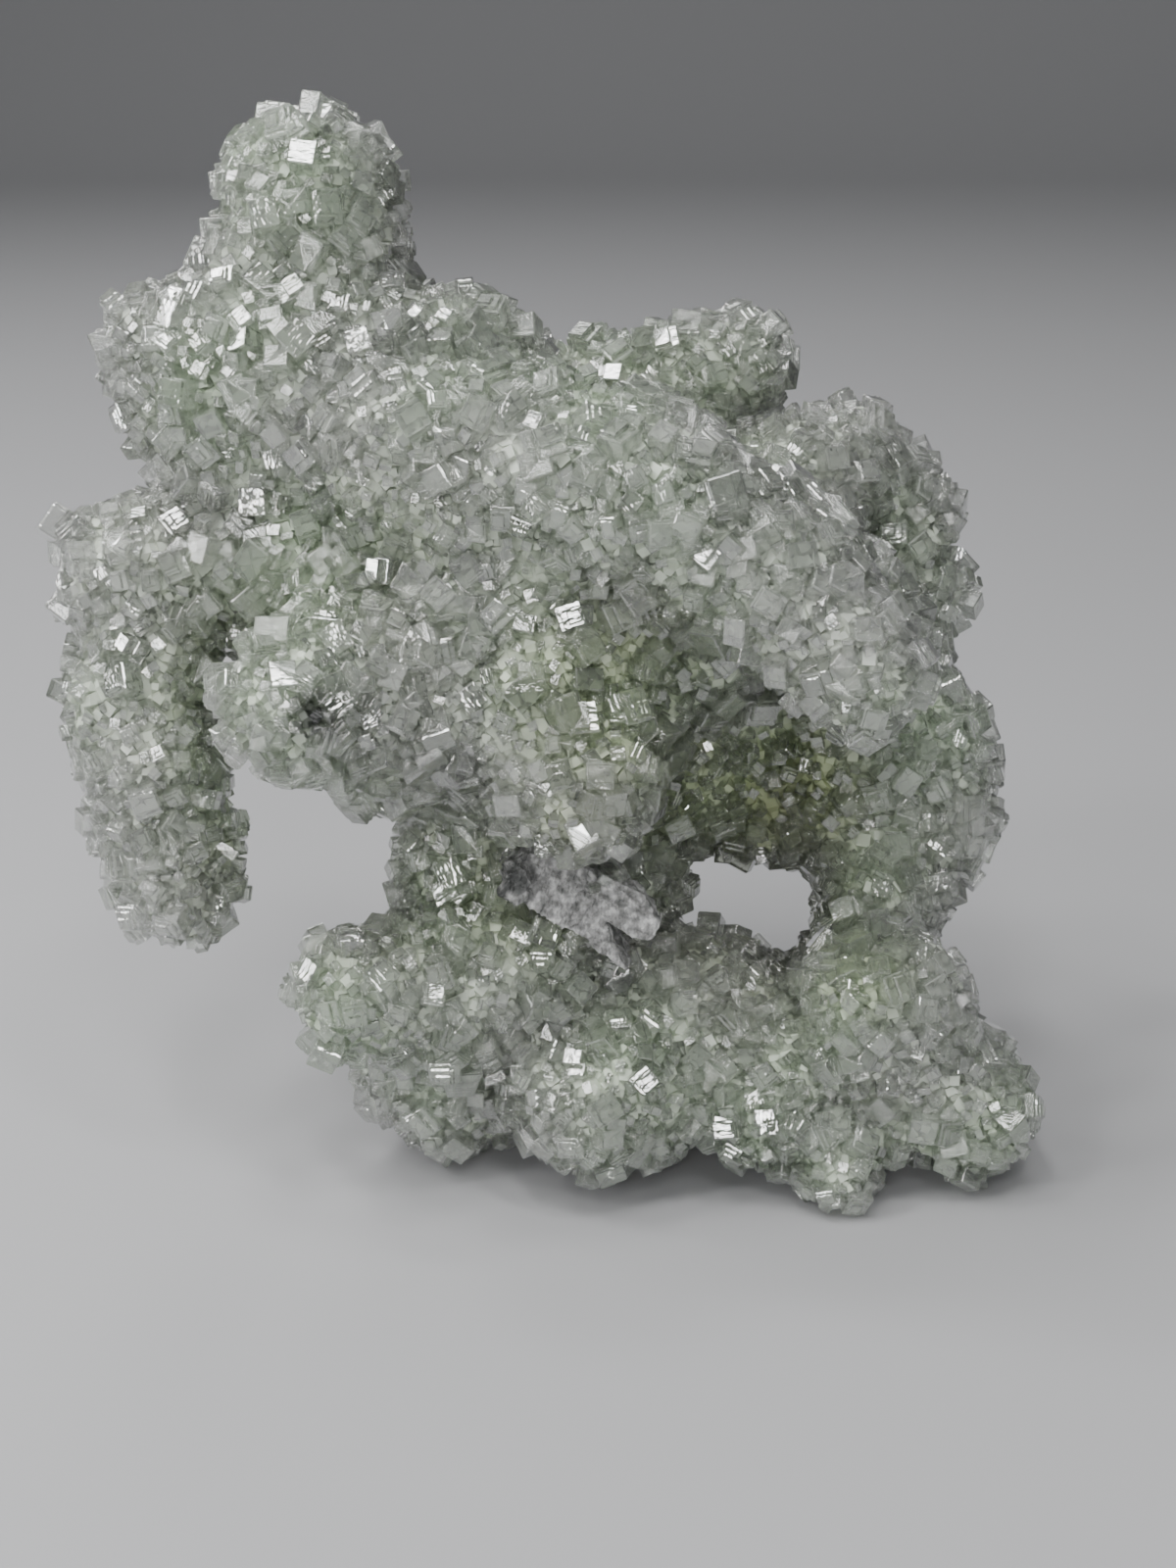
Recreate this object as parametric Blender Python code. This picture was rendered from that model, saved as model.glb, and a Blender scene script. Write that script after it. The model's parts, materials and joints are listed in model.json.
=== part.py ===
"""A prehnite pseudomorph: stubby rounded fingers grown together like coral, crusted with square crystals.

Each finger is one solid, cut from its neighbours at the fork. Its body is a chain of rounded cones
melted together, and its crystals are square prisms raised from the faces of that body.
"""

import math
import random

import bmesh
import bpy
from mathutils import Matrix, Vector
from mathutils.bvhtree import BVHTree

MM = 0.001

# The fingers are laid out in millimetres round the stem. This point of that layout is the base's
# centre, where the finished part has its origin.
BASE_CENTRE_MM = Vector((1.0, 9.5, 0.0))

# Body surface
FACET_MM = 4.2          # size of the flat faces that a body is made of
SMOOTHING_ROUNDS = 2
SMOOTHING_FACTOR = 0.4
MOST_SETTLING_MM = 1.2  # how far a corner moves back onto the rounded cones after the smoothing
FACET_JITTER_MM = 0.30  # how far a body's corners stand off its smooth shape
FORK_GAP_MM = 0.3       # gap between two fingers where they meet
BALL_SUBDIVISIONS = 3   # of the balls that the rounded cones are made from

# Crystals
CRYSTAL_SHARE = 0.32          # share of the body's faces that carry one
SHARE_SPREAD = (0.5, 1.5)     # each face's share is this much of it, by chance
MOST_OWED = 1.6               # most crystals that faces without one leave to the next faces
CRYSTAL_HEIGHT_MM = (1.0, 2.4)
SHORT_CRYSTAL = 0.5           # a crystal that would meet something is tried again at this height
CRYSTAL_TOP_SCALE = (0.60, 0.85)
CRYSTAL_TWIST_DEG = 22.0
CRYSTAL_TILT_DEG = 14.0
CRYSTAL_CLEARANCE_MM = 0.7    # air left between a crystal and the next finger
FLOOR_CLEARANCE_MM = 0.2      # and between a crystal and the surface that the part stands on
END_SPACING = 0.85            # least distance of two crystals' ends, as a share of their half widths together
FACE_WIDTH_MM = (2.0, 6.0)    # a face outside this range carries no crystal

SEED = 11

# Every finger is a list of chains, and a chain is a list of balls (x, y, z, radius) in millimetres
# that rounded cones join. +X is to the right and +Y to the back.
TRUNK = [
    # the thick middle
    [(-10.5, 10, 56.5, 9.4), (-3, 8, 48.5, 11.4), (0, 4, 39.5, 10.0)],
    # chin, bulging to the front
    [(0.5, -2, 40, 8.6), (2.5, -6, 37.5, 6.4), (3.5, -7, 35.5, 4.6)],
    # shoulder between the tower and the ridge
    [(-14, 9, 66.5, 6.4), (-8, 8, 68.5, 4.6), (-4.5, 8, 67, 4.0)],
    # green stem down to the feet
    [(-0.5, 5, 38, 9.0), (-1.5, 6, 32, 8.2), (-5, 5, 25.5, 7.2), (0, 4, 20.5, 8.2), (5, 8, 23.5, 6.4)],
    # bridge behind the ridge
    [(-3, 8, 48.5, 10.0), (7, 15, 48, 9.0), (15, 16, 48, 8.2)],
    # two blunt fingers at the back
    [(-5, 14, 55, 7.6), (-8, 24, 58, 6.5)],
    [(-2, 12, 42, 7.6), (-6, 23, 38, 6.5)],
]
TOWER = [
    [(-20.5, 11, 63.5, 8.4), (-20, 12, 71.5, 6.8), (-19.8, 13, 78.8, 6.7)],
    [(-20.5, 11, 64.5, 7.8), (-25.5, 11, 66.8, 7.2), (-29.5, 11, 67, 6.2)],
    [(-23, 10.5, 61, 6.8), (-27, 10, 62, 5.6)],
]
DROOPING_FINGER = [
    [(-15.5, 11, 54.5, 7.4), (-26.5, 9, 52, 6.4), (-32.5, 7, 51.5, 5.2), (-35, 6, 51.5, 4.4)],
    [(-24, 8, 50, 6.2), (-17, 5, 47.5, 7.0)],
    [(-32.5, 6, 49, 5.2), (-33, 4, 41.5, 5.6), (-32, 2, 34.5, 5.4), (-30.8, 1, 26.4, 5.0)],
]
RIDGE_FINGER = [
    [(-10.5, 4, 62.5, 7.2), (-3, 2, 60.5, 8.4), (7, -1, 58.5, 8.0), (15.5, -4, 54.5, 7.0),
     (22.5, -7, 48.5, 5.8), (24.5, -9, 46.5, 4.6)],
]
SNOUT_FINGER = [
    [(-7, 2, 43.5, 8.0), (-15, -5, 44, 7.2), (-19, -9, 44.5, 5.8)],
    [(-10, 2, 39, 5.8), (-13.5, 0, 37.5, 5.0)],
]
BACK_TOP_FINGER = [
    [(8, 18, 53, 6.2), (11, 25, 61, 5.6), (16.5, 27, 64, 4.8)],
    [(11, 25, 61.5, 5.0), (3.5, 25, 62.5, 4.2), (1.2, 26, 63.2, 3.0)],
]
BACK_RIGHT_FINGER = [
    [(18, 16, 50, 6.6), (20.5, 18, 54.5, 6.0), (26.5, 22, 57, 5.2), (32, 23, 51, 5.4), (33.5, 21, 45.5, 4.4)],
]
RIGHT_COLUMN = [
    # arch over the window, the olive wall at the back of the recess
    [(7.5, 13, 38, 9.4), (17, 16, 31.5, 8.0), (27.5, 14, 29, 7.2)],
    [(5, 11, 31, 8.0), (12, 14, 31, 7.6)],
    # right mass
    [(24, 12, 46, 7.0), (31.5, 13, 35, 5.4), (33.5, 12, 27, 5.8), (31.5, 10, 23.5, 5.2)],
    [(17, 14, 42, 8.0), (27, 13, 36, 7.0)],
    # strut down to the right foot
    [(31, 9, 23, 5.2), (29, 4, 17.5, 5.2), (29, 1, 14, 5.4)],
    # blunt finger at the back
    [(17, 18, 42, 7.4), (20, 28, 38, 6.0)],
]
LEFT_FOOT = [
    [(-1, 2, 18, 6.4), (-9, -3, 17, 7.0), (-15.5, -6, 18.5, 5.2)],
    [(-1.5, 3, 10, 7.4), (-9.5, 1, 6.4, 7.1), (-12, 2, 8.5, 6.2)],
]
FRONT_FOOT = [
    [(1, 4, 12, 7.4), (11, 1, 11.5, 6.4), (6.5, -4, 9.5, 7.2), (3.5, -6, 9, 6.4)],
    [(13, 3, 12.5, 5.8), (17.5, -3, 8.5, 5.8), (18, -5, 8, 5.2)],
    # base reaching to the right foot, and the small lump seen through the window
    [(11, 4, 12, 5.8), (17, 4, 12.5, 5.0), (24, 2, 11, 5.0)],
    [(12, 8, 9, 4.6), (15, 17, 6.5, 3.6), (17.5, 21, 9, 3.2)],
]
RIGHT_FOOT = [
    [(29.5, -1, 13, 6.2), (32.5, -3, 8, 6.4), (36, -3, 5.5, 6.3)],
    [(26, -5, 17.5, 4.2), (31, -4, 18, 4.2)],
    [(27, -1, 10, 5.4), (24.5, -4, 6.5, 4.4), (24, -8, 2.8, 3.7)],
]
REAR_FOOT = [
    [(2, 12, 11, 6.4), (3, 16, 8.5, 6.6), (4, 21, 5.5, 6.5)],
    [(-1, 13, 10, 6.2), (-7, 15, 8, 6.2), (-10, 19, 4.8, 6.0)],
]

# In this order: a finger is cut back from every finger before it.
FINGERS = {
    "trunk": TRUNK,
    "tower": TOWER,
    "drooping_finger": DROOPING_FINGER,
    "ridge_finger": RIDGE_FINGER,
    "snout_finger": SNOUT_FINGER,
    "right_column": RIGHT_COLUMN,
    "back_right_finger": BACK_RIGHT_FINGER,
    "back_top_finger": BACK_TOP_FINGER,
    "left_foot": LEFT_FOOT,
    "front_foot": FRONT_FOOT,
    "right_foot": RIGHT_FOOT,
    "rear_foot": REAR_FOOT,
}

# The grey flake: outlines (x, z) of its plate and of the two thinner ledges on it, each with the y of
# its face. The plates run back into the stem and are cut off there.
FLAKE_BACK_Y_MM = 3.0
FLAKE_PLATES = [
    (-6.4, [(-3.5, 27.5), (-2, 30), (0.5, 30.5), (4, 29.5), (6.5, 29), (9, 25.5), (8.5, 24), (7, 21),
            (3.5, 23), (0, 25)]),
    (-7.6, [(2, 26.5), (4.5, 28.5), (7.5, 28), (8.6, 26), (8, 24.3), (6.6, 22), (4, 23.7)]),
    (-7.2, [(-3, 28.2), (-1.8, 29.6), (0, 30), (1, 28.5), (-0.6, 26.6), (-2.4, 27.4)]),
]
FLAKE_LEAN_DEG = 12.0     # the flake's face leans back by this
FLAKE_LEDGE_TURN_DEG = 6.0

# The block under the surface that the part stands on, which cuts the lowest lobes flat
FLOOR_BLOCK_SIDE_MM = 200.0
FLOOR_BLOCK_DEPTH_MM = 20.0

GLASSY_GREEN = (0.50, 0.56, 0.46, 1.0)
GLASSY_ROUGHNESS = 0.35
FLAKE_GREY = (0.38, 0.38, 0.38, 1.0)
FLAKE_ROUGHNESS = 0.55


def in_frame(x, y, z):
    return (Vector((x, y, z)) - BASE_CENTRE_MM) * MM


def mesh_object(name, mesh):
    obj = bpy.data.objects.new(name, mesh)
    bpy.context.scene.collection.objects.link(obj)
    return obj


def mesh_from(bm, name):
    mesh = bpy.data.meshes.new(name)
    bm.to_mesh(mesh)
    bm.free()
    return mesh


def with_modifier(mesh, kind, **settings):
    """The mesh as one modifier leaves it."""
    helper = mesh_object("helper", mesh)
    modifier = helper.modifiers.new(kind, kind)
    for key, value in settings.items():
        setattr(modifier, key, value)
    graph = bpy.context.evaluated_depsgraph_get()
    result = bpy.data.meshes.new_from_object(helper.evaluated_get(graph))
    bpy.data.objects.remove(helper)
    return result


def with_boolean(mesh, operation, other_meshes):
    """The mesh joined with all the others at once, or cut by them."""
    others = bpy.data.collections.new("others")
    bpy.context.scene.collection.children.link(others)
    for other in other_meshes:
        others.objects.link(bpy.data.objects.new("other", other))
    result = with_modifier(mesh, "BOOLEAN", operation=operation, solver="EXACT",
                           operand_type="COLLECTION", collection=others)
    for obj in list(others.objects):
        bpy.data.objects.remove(obj)
    bpy.data.collections.remove(others)
    return result


def add_rounded_cone(bm, start, end):
    """Adds the hull of two balls to the mesh."""
    hull = bmesh.new()
    for x, y, z, radius in (start, end):
        ball = bmesh.new()
        place = Matrix.Translation(in_frame(x, y, z))
        bmesh.ops.create_icosphere(ball, subdivisions=BALL_SUBDIVISIONS, radius=radius * MM, matrix=place)
        for vert in ball.verts:
            hull.verts.new(vert.co)
        ball.free()
    result = bmesh.ops.convex_hull(hull, input=hull.verts)
    inside = [item for item in result["geom_interior"] if isinstance(item, bmesh.types.BMVert)]
    bmesh.ops.delete(hull, geom=inside, context="VERTS")
    piece = mesh_from(hull, "cone")
    bm.from_mesh(piece)
    bpy.data.meshes.remove(piece)


def finger_body(chains, rng):
    """The finger's smooth body: its chains melted together, in flat faces of FACET_MM."""
    bm = bmesh.new()
    for chain in chains:
        for start, end in zip(chain[:-1], chain[1:]):
            add_rounded_cone(bm, start, end)
    mesh = with_modifier(mesh_from(bm, "chains"), "REMESH", mode="VOXEL", voxel_size=FACET_MM * MM)
    bm = bmesh.new()
    bm.from_mesh(mesh)
    for _ in range(SMOOTHING_ROUNDS):
        bmesh.ops.smooth_vert(bm, verts=bm.verts, factor=SMOOTHING_FACTOR,
                              use_axis_x=True, use_axis_y=True, use_axis_z=True)
    bm.normal_update()
    for vert in bm.verts:
        sunk = min(max(-depth_outside(vert.co, chains), -MOST_SETTLING_MM * MM), MOST_SETTLING_MM * MM)
        vert.co += vert.normal * (sunk + rng.uniform(-FACET_JITTER_MM, FACET_JITTER_MM) * MM)
    return mesh_from(bm, "body")


def largest_body(mesh):
    """The mesh without its loose shells but the largest, such as a crumb that a cut leaves."""
    bm = bmesh.new()
    bm.from_mesh(mesh)
    unseen = set(bm.faces)
    shells = []
    while unseen:
        stack = [unseen.pop()]
        shell = set(stack)
        while stack:
            for edge in stack.pop().edges:
                for face in edge.link_faces:
                    if face not in shell:
                        shell.add(face)
                        unseen.discard(face)
                        stack.append(face)
        shells.append(shell)
    largest = max(shells, key=len)
    bmesh.ops.delete(bm, geom=[face for face in bm.faces if face not in largest], context="FACES")
    return mesh_from(bm, "largest")


def split_in_triangles(bm):
    """Splits each quad along the same diagonal every time, so that a body and its cutter match."""
    bmesh.ops.triangulate(bm, faces=bm.faces, quad_method="FIXED")


def grown(mesh, distance):
    """A copy of the mesh with its surface moved out by the distance."""
    bm = bmesh.new()
    bm.from_mesh(mesh)
    bm.normal_update()
    for vert in bm.verts:
        vert.co += vert.normal * distance
    split_in_triangles(bm)
    return mesh_from(bm, "grown")


def floor_block():
    size = Vector((FLOOR_BLOCK_SIDE_MM, FLOOR_BLOCK_SIDE_MM, FLOOR_BLOCK_DEPTH_MM)) * MM
    bm = bmesh.new()
    bmesh.ops.create_cube(bm, size=1.0)
    for vert in bm.verts:
        vert.co = Vector((vert.co.x * size.x, vert.co.y * size.y, (vert.co.z - 0.5) * size.z))
    return mesh_from(bm, "floor")


def tree_of(mesh):
    corners = [vert.co.copy() for vert in mesh.vertices]
    return BVHTree.FromPolygons(corners, [tuple(face.vertices) for face in mesh.polygons])


def depth_outside(point, chains):
    """How far the point is outside the finger that the chains describe, negative inside."""
    nearest = math.inf
    for chain in chains:
        for start, end in zip(chain[:-1], chain[1:]):
            foot = in_frame(*start[:3])
            axis = in_frame(*end[:3]) - foot
            along = min(max((point - foot).dot(axis) / axis.length_squared, 0.0), 1.0)
            radius = (start[3] + (end[3] - start[3]) * along) * MM
            nearest = min(nearest, (point - foot - axis * along).length - radius)
    return nearest


def is_clear(point, others, crusts):
    """Whether the point keeps off the other fingers' bodies and off the crystals that stand already."""
    for chains in others:
        if depth_outside(point, chains) < CRYSTAL_CLEARANCE_MM * MM:
            return False
    return all(tree.find_nearest(point)[3] > CRYSTAL_CLEARANCE_MM * MM for tree in crusts)


def crystal_top(face, rng, shortening):
    """The four corners of a crystal's square end over this face, in the order of the face's corners."""
    centre = face.calc_center_median()
    normal = face.normal
    height = rng.uniform(*CRYSTAL_HEIGHT_MM) * MM * shortening
    scale = rng.uniform(*CRYSTAL_TOP_SCALE)
    twist = math.radians(rng.uniform(-CRYSTAL_TWIST_DEG, CRYSTAL_TWIST_DEG))
    tilt_axis = Matrix.Rotation(rng.uniform(0, math.tau), 3, normal) @ normal.orthogonal()
    tilt = Matrix.Rotation(math.radians(rng.uniform(0, CRYSTAL_TILT_DEG)), 3, tilt_axis)
    reach = sum((vert.co - centre).length for vert in face.verts) / 4 * scale
    first = face.verts[0].co - centre
    first = (first - normal * first.dot(normal)).normalized()
    corners = []
    for quarter in range(4):
        turn = Matrix.Rotation(twist + quarter * math.pi / 2, 3, normal)
        corners.append(centre + tilt @ (turn @ first * reach + normal * height))
    return corners


def takes_crystal(face):
    sides = [edge.calc_length() / MM for edge in face.edges]
    return len(sides) == 4 and min(sides) > FACE_WIDTH_MM[0] and max(sides) < FACE_WIDTH_MM[1]


def stands_free(foot, top, ends, others, crusts):
    """Whether a crystal from this foot to this end keeps off the ground and off all that is near."""
    if min(corner.z for corner in top) < FLOOR_CLEARANCE_MM * MM:
        return False
    end, reach = end_of(top)
    if any((end - other).length < (reach + other_reach) * END_SPACING for other, other_reach in ends):
        return False
    probes = top + [end] + [(top[i] + top[i - 1]) / 2 for i in range(4)]
    probes += [(top[i] + foot[i]) / 2 for i in range(4)]
    return all(is_clear(probe, others, crusts) for probe in probes)


def end_of(top):
    """The middle of a crystal's end, and its half diagonal."""
    middle = sum(top, Vector()) / 4
    return middle, (top[0] - middle).length


def raise_crystals(mesh, others, crusts, rng):
    """Raises a square prism from a share of the faces, shorter where it would meet something."""
    bm = bmesh.new()
    bm.from_mesh(mesh)
    bm.normal_update()
    ends = []
    owed = 0.0
    for face in list(bm.faces):
        # Every face adds its share, and one that can't carry a crystal leaves it to the next.
        owed = min(owed + CRYSTAL_SHARE * rng.uniform(*SHARE_SPREAD), MOST_OWED)
        if owed < 1.0 or not takes_crystal(face):
            continue
        foot = [vert.co.copy() for vert in face.verts]
        for shortening in (1.0, SHORT_CRYSTAL):
            top = crystal_top(face, rng, shortening)
            if stands_free(foot, top, ends, others, crusts):
                raised = bmesh.ops.extrude_discrete_faces(bm, faces=[face])["faces"][0]
                for vert, corner in zip(raised.verts, top):
                    vert.co = corner
                ends.append(end_of(top))
                owed -= 1.0
                break
    split_in_triangles(bm)
    return mesh_from(bm, "crusted"), len(ends)


def flake_plate(face_y, outline, turn_deg):
    """One plate of the flake: its outline pushed back from its face into the stem."""
    middle_x = sum(x for x, _ in outline) / len(outline)
    middle_z = sum(z for _, z in outline) / len(outline)
    pivot = in_frame(middle_x, face_y, middle_z)
    turn = (Matrix.Translation(pivot) @ Matrix.Rotation(math.radians(turn_deg), 4, "Y")
            @ Matrix.Rotation(math.radians(-FLAKE_LEAN_DEG), 4, "X") @ Matrix.Translation(-pivot))
    bm = bmesh.new()
    front = [bm.verts.new(turn @ in_frame(x, face_y, z)) for x, z in outline]
    face = bm.faces.new(front)
    back = bmesh.ops.extrude_face_region(bm, geom=[face])
    for item in back["geom"]:
        if isinstance(item, bmesh.types.BMVert):
            item.co.y += (FLAKE_BACK_Y_MM - face_y) * MM
    bmesh.ops.recalc_face_normals(bm, faces=bm.faces)
    return mesh_from(bm, "plate")


def flake_mesh(bodies):
    """The grey flake: a plate and two ledges joined, cut off where they run into the prehnite."""
    plates = [flake_plate(face_y, outline, index * FLAKE_LEDGE_TURN_DEG)
              for index, (face_y, outline) in enumerate(FLAKE_PLATES)]
    joined = with_boolean(plates[0], "UNION", plates[1:])
    return largest_body(with_boolean(joined, "DIFFERENCE", bodies))


def material(name, colour, roughness):
    made = bpy.data.materials.new(name)
    made.use_nodes = True
    shader = made.node_tree.nodes["Principled BSDF"]
    shader.inputs["Base Color"].default_value = colour
    shader.inputs["Roughness"].default_value = roughness
    return made


def main():
    for obj in list(bpy.data.objects):
        bpy.data.objects.remove(obj)

    rng = random.Random(SEED)
    bodies = {name: finger_body(chains, rng) for name, chains in FINGERS.items()}
    cutters = {name: grown(body, FORK_GAP_MM * MM) for name, body in bodies.items()}
    flake = flake_mesh(list(cutters.values()))

    # Crystals first, then the cuts: each finger loses what lies in the bodies before it, and what lies
    # under the surface that the part stands on.
    crusts = [tree_of(flake)]
    total = 0
    prehnite = material("prehnite", GLASSY_GREEN, GLASSY_ROUGHNESS)
    for index, (name, body) in enumerate(bodies.items()):
        others = [chains for other, chains in FINGERS.items() if other != name]
        crusted, count = raise_crystals(body, others, crusts, rng)
        crusts.append(tree_of(crusted))
        total += count
        earlier = [cutters[other] for other in list(FINGERS)[:index]]
        finger = largest_body(with_boolean(crusted, "DIFFERENCE", earlier + [floor_block()]))
        finger.materials.clear()
        finger.materials.append(prehnite)
        mesh_object(name, finger)
    print(f"{total} crystals")

    flake.materials.clear()
    flake.materials.append(material("grey_stone", FLAKE_GREY, FLAKE_ROUGHNESS))
    mesh_object("grey_flake", flake)


main()
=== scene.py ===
import json
import math

import bmesh
import bpy
import numpy as np
from mathutils import Euler, Matrix, Vector, noise
from mathutils.bvhtree import BVHTree

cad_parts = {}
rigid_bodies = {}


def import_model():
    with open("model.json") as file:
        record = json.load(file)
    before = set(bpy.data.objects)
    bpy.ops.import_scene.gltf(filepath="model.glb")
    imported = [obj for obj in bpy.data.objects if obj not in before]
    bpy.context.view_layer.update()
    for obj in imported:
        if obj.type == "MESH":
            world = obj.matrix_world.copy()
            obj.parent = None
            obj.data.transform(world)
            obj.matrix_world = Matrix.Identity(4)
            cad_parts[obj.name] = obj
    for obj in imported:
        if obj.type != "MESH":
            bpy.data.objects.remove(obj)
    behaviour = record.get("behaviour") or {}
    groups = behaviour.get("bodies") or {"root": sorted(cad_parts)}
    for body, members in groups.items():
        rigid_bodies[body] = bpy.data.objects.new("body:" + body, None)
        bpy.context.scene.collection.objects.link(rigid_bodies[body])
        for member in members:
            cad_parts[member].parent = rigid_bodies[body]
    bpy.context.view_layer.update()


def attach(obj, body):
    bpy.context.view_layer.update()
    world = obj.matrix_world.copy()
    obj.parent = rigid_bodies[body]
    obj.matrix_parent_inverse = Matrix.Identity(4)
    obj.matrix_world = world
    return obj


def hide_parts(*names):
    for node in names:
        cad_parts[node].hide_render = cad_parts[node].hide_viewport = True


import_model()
mm = 0.001

# The fingers are laid out in millimetres round the stem, and this point of that layout is the frame's origin.
baseCentre = (1.0, 9.5, 0.0)

# Each finger is a list of chains, and a chain is a list of balls (x, y, z, radius) joined by rounded cones.
fingers = {
    "trunk": [
        [(-10.5, 10, 56.5, 9.4), (-3, 8, 48.5, 11.4), (0, 4, 39.5, 10.0)],  # thick middle
        [(0.5, -2, 40, 8.6), (2.5, -6, 37.5, 6.4), (3.5, -7, 35.5, 4.6)],  # chin
        [(-14, 9, 66.5, 6.4), (-8, 8, 68.8, 4.8), (-5, 8, 67.8, 4.1)],  # shoulder
        [(-0.5, 5, 38, 9.0), (-1.5, 6, 32, 8.2), (-5.6, 5, 25.5, 7.2), (0, 4, 20.5, 8.2), (5, 8, 23.5, 6.4)],  # stem
        [(-3, 8, 48.5, 10.0), (7, 15, 48, 9.0), (15, 16, 48, 8.2)],  # bridge behind the ridge
        [(1, 3.5, 48.5, 8.0), (8, 4, 48, 7.4), (14, 5, 46.5, 6.2)],  # flank under the ridge
        [(-5, 14, 55, 7.6), (-8, 24, 58, 6.5)],  # blunt fingers at the back
        [(-2, 12, 42, 7.6), (-6, 23, 38, 6.5)],
    ],
    "tower": [
        [(-20.5, 11, 63.5, 8.4), (-19.6, 12, 71.5, 7.6), (-19.2, 13, 79.3, 7.4)],
        [(-20.5, 11, 64.5, 7.8), (-25.5, 11, 66.8, 7.4), (-29.5, 11, 67.6, 6.6)],
        [(-23, 10.5, 61, 6.8), (-27, 10, 62, 5.6)],
    ],
    "drooping_finger": [
        [(-15.5, 11, 54.5, 7.4), (-26.5, 9, 51.5, 6.4), (-32.5, 7, 50.8, 5.2), (-35.4, 6, 50.4, 4.5)],
        [(-24, 8, 50, 6.2), (-17, 5, 47.5, 7.0)],
        [(-32.7, 6, 49, 5.2), (-33.5, 4, 41.5, 5.7), (-32.5, 2, 34.5, 5.9), (-30.8, 1, 26.0, 5.8)],
    ],
    "ridge_finger": [
        [(-10.5, 4, 62.5, 7.2), (-3, 2, 60.2, 8.1), (7, -1, 58.5, 8.0), (15.5, -4, 54.5, 7.0),
         (22.5, -7, 48.5, 5.8), (24.5, -9, 46.5, 4.6)],
    ],
    "snout_finger": [
        [(-7, 2, 43.5, 8.0), (-15, -5, 43.6, 7.4), (-19, -9, 43.8, 6.3)],
        [(-10, 2, 39, 5.8), (-13.5, 0, 37.5, 5.0)],
    ],
    "right_column": [
        [(7.5, 13, 38, 9.4), (17, 16, 31.5, 8.0), (27.5, 14, 29, 7.2)],  # arch over the window
        [(5, 11, 31, 8.0), (12, 14, 31, 7.6)],
        [(23.4, 12, 46, 6.6), (31.2, 13, 35, 5.3), (33, 12, 27.5, 5.5), (30.3, 10, 23.5, 4.6)],  # right mass
        [(17, 14, 42, 8.0), (27, 13, 36, 7.0)],
        [(29.6, 9, 23, 4.6), (27.8, 4, 17.5, 4.9), (28, 1, 14, 5.2)],  # strut
        [(17, 18, 42, 7.4), (20, 28, 38, 6.0)],  # blunt finger at the back
    ],
    "back_right_finger": [
        [(18, 16, 50, 6.6), (20.5, 18, 54.5, 6.0), (26, 22, 56.7, 5.0), (30.8, 23, 51.2, 5.0), (33, 21, 45.5, 4.4)],
    ],
    "back_top_finger": [
        [(8, 18, 53, 6.2), (11, 25, 61, 5.6), (16.5, 27, 64, 4.8)],
        [(11, 25, 61.0, 5.0), (3.5, 25, 61.7, 4.2), (1.2, 26, 62.2, 3.0)],
    ],
    "left_foot": [
        [(-1, 2, 18, 6.4), (-9, -3, 17, 7.0), (-15.5, -6, 18.5, 5.2)],
        [(-1.5, 3, 10, 7.4), (-8.4, 1, 7.2, 6.7), (-10.8, 2, 9.4, 5.8)],
    ],
    "front_foot": [
        [(1, 4, 12, 7.4), (11, 1, 11.5, 6.4), (6.5, -4, 9.5, 7.2), (3.5, -6, 9, 6.4)],
        [(13, 3, 12.5, 5.8), (17.5, -3, 8.5, 5.8), (18, -5, 8, 5.2)],
        [(11, 4, 12, 5.8), (17, 4, 10.6, 4.8), (24, 2, 9.8, 5.0)],  # base reaching to the right foot
        [(12, 8, 8.6, 4.4), (15, 17, 6.2, 3.4), (17.2, 21, 8.2, 2.8)],  # small lump seen through the window
    ],
    "right_foot": [
        [(28.8, -1, 13, 5.8), (32, -3, 8.2, 6.0), (35.4, -3, 6.3, 5.6)],
        [(26, -5, 17.5, 4.2), (30.2, -4, 17.6, 4.0)],
        [(27, -1, 10, 5.4), (24.5, -4, 6.5, 4.4), (24, -8, 2.8, 3.7)],
    ],
    "rear_foot": [
        [(2, 12, 11, 6.4), (3, 16, 8.5, 6.6), (4, 21, 5.5, 6.5)],
        [(-1, 13, 10, 6.2), (-7, 15, 8, 6.2), (-10, 19, 4.8, 6.0)],
    ],
}
fingerNames = list(fingers)


# Camera: at the photograph's angle, looking down on the specimen
camera = {"aim": (2.4, -9.5, 34.3), "distance": 200.0, "elevation": 20.0, "lens": 56.25, "sensor": 36.0}


def cameraPlace():
    lean = math.radians(camera["elevation"])
    back = Vector((0.0, -math.cos(lean), math.sin(lean)))
    return (Vector(camera["aim"]) + back * camera["distance"]) * mm, lean


def makeCamera():
    place, lean = cameraPlace()
    data = bpy.data.cameras.new("camera")
    data.lens = camera["lens"]
    data.sensor_width = camera["sensor"]
    data.clip_start = 0.01
    obj = bpy.data.objects.new("camera", data)
    obj.location = place
    obj.rotation_euler = (math.pi / 2 - lean, 0.0, 0.0)
    bpy.context.scene.collection.objects.link(obj)
    bpy.context.scene.camera = obj


def rayThrough(pixel):
    # the camera's place and the direction through a pixel of the 1200 x 1600 frame
    place, lean = cameraPlace()
    focal = camera["lens"] / camera["sensor"] * 1600
    right = (pixel[0] - 600) / focal
    up = (800 - pixel[1]) / focal
    forward = Vector((0.0, math.cos(lean), -math.sin(lean)))
    upward = Vector((0.0, math.sin(lean), math.cos(lean)))
    return place, (forward + Vector((right, 0, 0)) + upward * up).normalized()


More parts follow.
